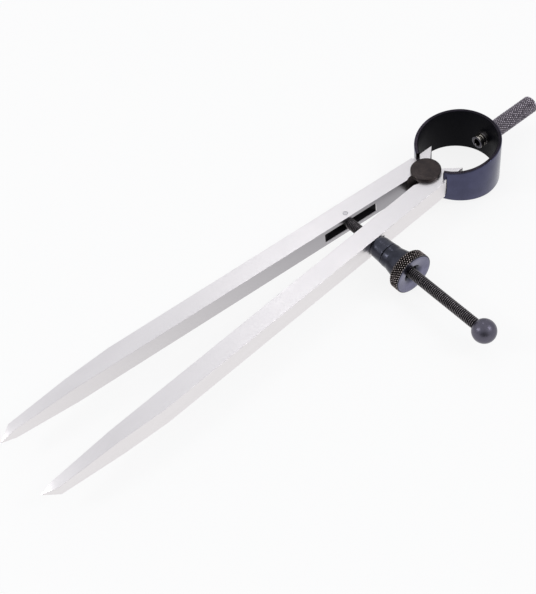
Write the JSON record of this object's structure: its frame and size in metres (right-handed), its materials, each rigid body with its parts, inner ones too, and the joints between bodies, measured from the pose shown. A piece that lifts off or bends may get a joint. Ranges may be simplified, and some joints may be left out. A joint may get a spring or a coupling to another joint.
{
  "type": "spring divider",
  "caption": "Spring divider: two flat steel legs on a fulcrum, a round bow spring with a knurled handle, and a screw with a knurled nut that opens and closes the points.",
  "frame": {"origin": "on the fulcrum axis, at the outer face of the lower fulcrum disc", "axes": "+Y from the points to the handle, +Z along the fulcrum axis through the legs' thickness, +X along the adjusting screw to its ball end"},
  "size_m": [0.0943, 0.2633, 0.0207],
  "materials": {
    "blackened_spring": "satin blue-black oxide",
    "ground_steel": "satin, fine lengthwise grind",
    "blackened_disc": "turned, black oxide",
    "pin_steel": "ground flush",
    "blackened_thread": "rolled thread, black oxide",
    "blackened_ball": "turned, black oxide, oiled",
    "blackened_nut": "turned and knurled, black oxide",
    "blackened_knurl": "diamond knurl, black oxide",
    "nickel_plate": "bright nickel",
    "washer_steel": "plain satin"
  },
  "bodies": {
    "bow": {"bow_spring": "blackened_spring", "fulcrum_stud": "blackened_disc", "fulcrum_cap": "blackened_disc", "handle": "blackened_knurl", "handle_screw": "nickel_plate", "spring_washer": "nickel_plate", "saddle_washer": "washer_steel"},
    "left_leg": {"left_leg": "ground_steel", "cross_pin": "pin_steel", "bow_end_left": "blackened_spring"},
    "right_leg": {"right_leg": "ground_steel", "bow_end_right": "blackened_spring"},
    "screw": {"adjusting_screw": "blackened_thread", "ball_end": "blackened_ball"},
    "collar": {"thrust_collar": "blackened_nut"},
    "nut": {"knurled_nut": "blackened_nut"}
  },
  "joints": [
    {"name": "left_leg_swing", "type": "hinge", "parent": "bow", "child": "left_leg", "pos_m": [0, 0, 0.00595], "axis": [0, 0, 1], "range_deg": [-26, 3.9]},
    {"name": "right_leg_swing", "type": "hinge", "parent": "bow", "child": "right_leg", "pos_m": [0, 0, 0.00595], "axis": [0, 0, 1], "range_deg": [-3.9, 26]},
    {"name": "screw_swivel", "type": "hinge", "parent": "left_leg", "child": "screw", "pos_m": [-0.0064, -0.0387, 0.00595], "axis": [0, 0, 1], "range_deg": [-4.57, 30.45]},
    {"name": "collar_swivel", "type": "hinge", "parent": "right_leg", "child": "collar", "pos_m": [0.0148, -0.0387, 0.00595], "axis": [0, 0, 1], "range_deg": [-21.56, 3.24]},
    {"name": "nut_spin", "type": "hinge", "parent": "collar", "child": "nut", "pos_m": [0.0148, -0.0387, 0.00595], "axis": [1, 0, 0], "range_deg": [-2191, 14607]}
  ],
  "couplings": [
    {"joint": "left_leg_swing", "follows": "nut_spin", "ratio": -0.00178},
    {"joint": "right_leg_swing", "follows": "nut_spin", "ratio": 0.00178},
    {"joint": "screw_swivel", "follows": "nut_spin", "ratio": 0.0020844},
    {"joint": "collar_swivel", "follows": "nut_spin", "ratio": -0.0014756}
  ]
}
